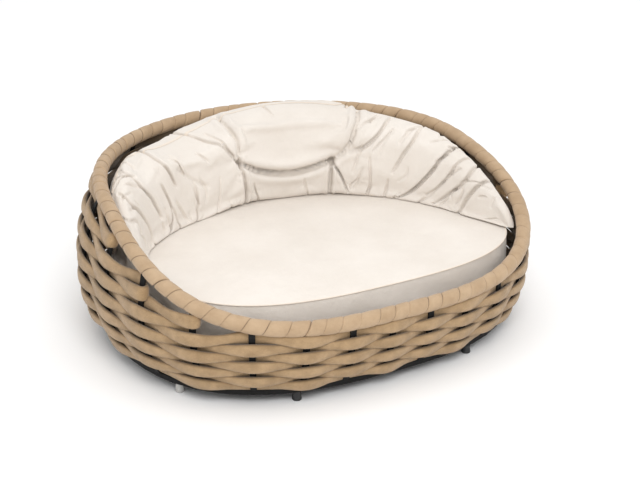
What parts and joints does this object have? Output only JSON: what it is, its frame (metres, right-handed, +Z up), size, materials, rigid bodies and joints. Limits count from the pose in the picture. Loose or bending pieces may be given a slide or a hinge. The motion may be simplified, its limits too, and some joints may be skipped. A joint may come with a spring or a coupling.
{
  "type": "wicker pet bed basket",
  "caption": "Oval woven pet bed basket with a low front, raised back, wrapped rim, black steel ribs, a flat seat cushion and a loose crescent bolster.",
  "frame": {"origin": "on the floor, under the middle of the whole object's box", "axes": "+Z up, -Y towards the low front, +X to the right when seen from the front"},
  "size_m": [0.9122, 0.8449, 0.3742],
  "materials": {
    "black_steel": "satin black powder coat",
    "rim_strap": "matte woven outdoor strap, golden tan",
    "woven_strand": "matte padded tubular webbing, heathered tan",
    "deck_board": "dark stained plywood",
    "foot_plastic": "black moulded plastic",
    "clear_plastic": "pale translucent plastic",
    "cream_fabric": "plain-woven cream cotton canvas"
  },
  "bodies": {
    "basket": {"rim_tube": "black_steel", "rim_wrap": "rim_strap", "rib_01": "black_steel", "rib_02": "black_steel", "rib_03": "black_steel", "rib_04": "black_steel", "rib_05": "black_steel", "rib_06": "black_steel", "rib_07": "black_steel", "rib_08": "black_steel", "rib_09": "black_steel", "rib_10": "black_steel", "rib_11": "black_steel", "rib_12": "black_steel", "rib_13": "black_steel", "rib_14": "black_steel", "rib_15": "black_steel", "rib_16": "black_steel", "rib_17": "black_steel", "rib_18": "black_steel", "rib_19": "black_steel", "rib_20": "black_steel", "rib_21": "black_steel", "rib_22": "black_steel", "rib_23": "black_steel", "rib_24": "black_steel", "rib_25": "black_steel", "rib_26": "black_steel", "strand_row_01": "woven_strand", "strand_row_02": "woven_strand", "strand_row_03": "woven_strand", "strand_row_04": "woven_strand", "strand_row_05": "woven_strand", "strand_row_06": "woven_strand", "strand_row_07": "woven_strand", "strand_row_08": "woven_strand", "strand_row_09": "woven_strand", "strand_row_10": "woven_strand", "strand_row_11": "woven_strand", "strand_row_12": "woven_strand", "strand_row_13": "woven_strand", "base_ring": "black_steel", "cross_bar_left": "black_steel", "cross_bar_middle": "black_steel", "cross_bar_right": "black_steel", "deck_board": "deck_board", "foot_front_left": "foot_plastic", "foot_front_right": "foot_plastic", "foot_back_left": "foot_plastic", "foot_back_right": "foot_plastic", "foot_side_left": "clear_plastic", "foot_side_right": "clear_plastic"},
    "seat_cushion": {"seat_cushion": "cream_fabric"},
    "bolster": {"bolster": "cream_fabric"}
  },
  "joints": [
    {"name": "seat_cushion_lift", "type": "slide", "parent": "basket", "child": "seat_cushion", "axis": [0, 0, 1], "range_m": [0, 0.33]},
    {"name": "bolster_lift", "type": "slide", "parent": "seat_cushion", "child": "bolster", "axis": [0, 0, 1], "range_m": [0, 0.18]}
  ]
}
